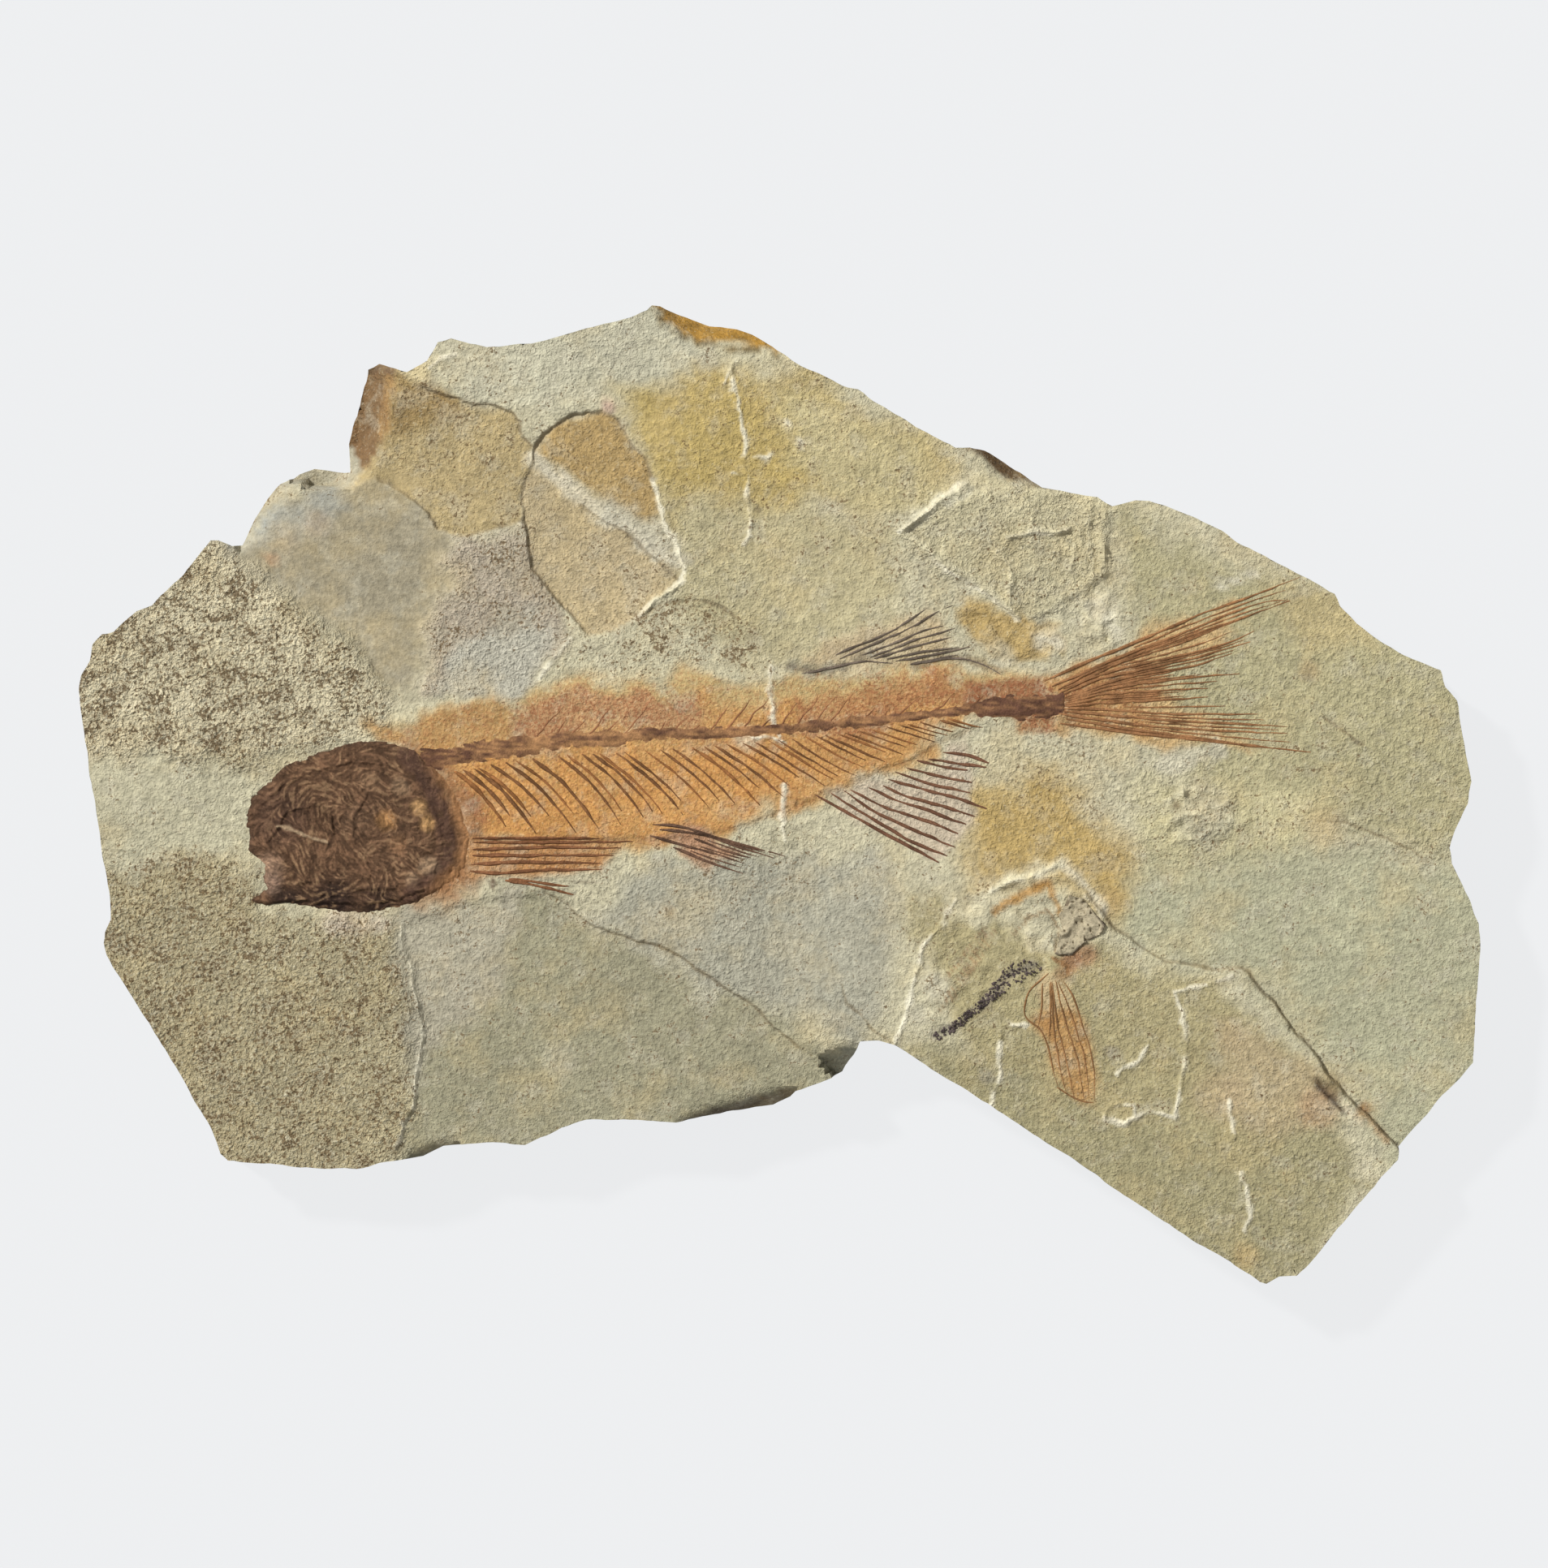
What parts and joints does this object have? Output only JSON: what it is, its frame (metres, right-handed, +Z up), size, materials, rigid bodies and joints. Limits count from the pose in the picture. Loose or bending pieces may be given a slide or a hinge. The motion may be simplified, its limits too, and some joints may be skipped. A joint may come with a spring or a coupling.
{
  "type": "fossil fish slab",
  "caption": "Broken plate of fine mudstone that lies flat, with a whole fossil fish in side view on its top face and a few bones of another.",
  "frame": {"origin": "centre of the bounding box at the slab's flat underside", "axes": "+X towards the fish's tail, along the slab's length; +Y towards the fish's back; +Z up out of the fossil face"},
  "size_m": [0.1729, 0.1207, 0.0118],
  "materials": {
    "mudstone": "dry, matt, faintly gritty",
    "skull_bone": "dull sheen, cracked",
    "spine_bone": "dull sheen",
    "dark_fin_bone": "matt",
    "rust_fin_bone": "matt",
    "brown_fin_bone": "matt",
    "charred_bone": "matt, granular",
    "cream_bone": "chalky"
  },
  "bodies": {
    "root": {"stone_slab": "mudstone", "skull": "skull_bone", "backbone_and_ribs": "spine_bone", "dorsal_fin": "dark_fin_bone", "anal_fin": "rust_fin_bone", "tail_fin": "rust_fin_bone", "pectoral_fin": "brown_fin_bone", "pelvic_fin": "brown_fin_bone", "loose_fin": "rust_fin_bone", "loose_backbone": "charred_bone", "loose_bone_plate": "cream_bone"}
  },
  "joints": []
}
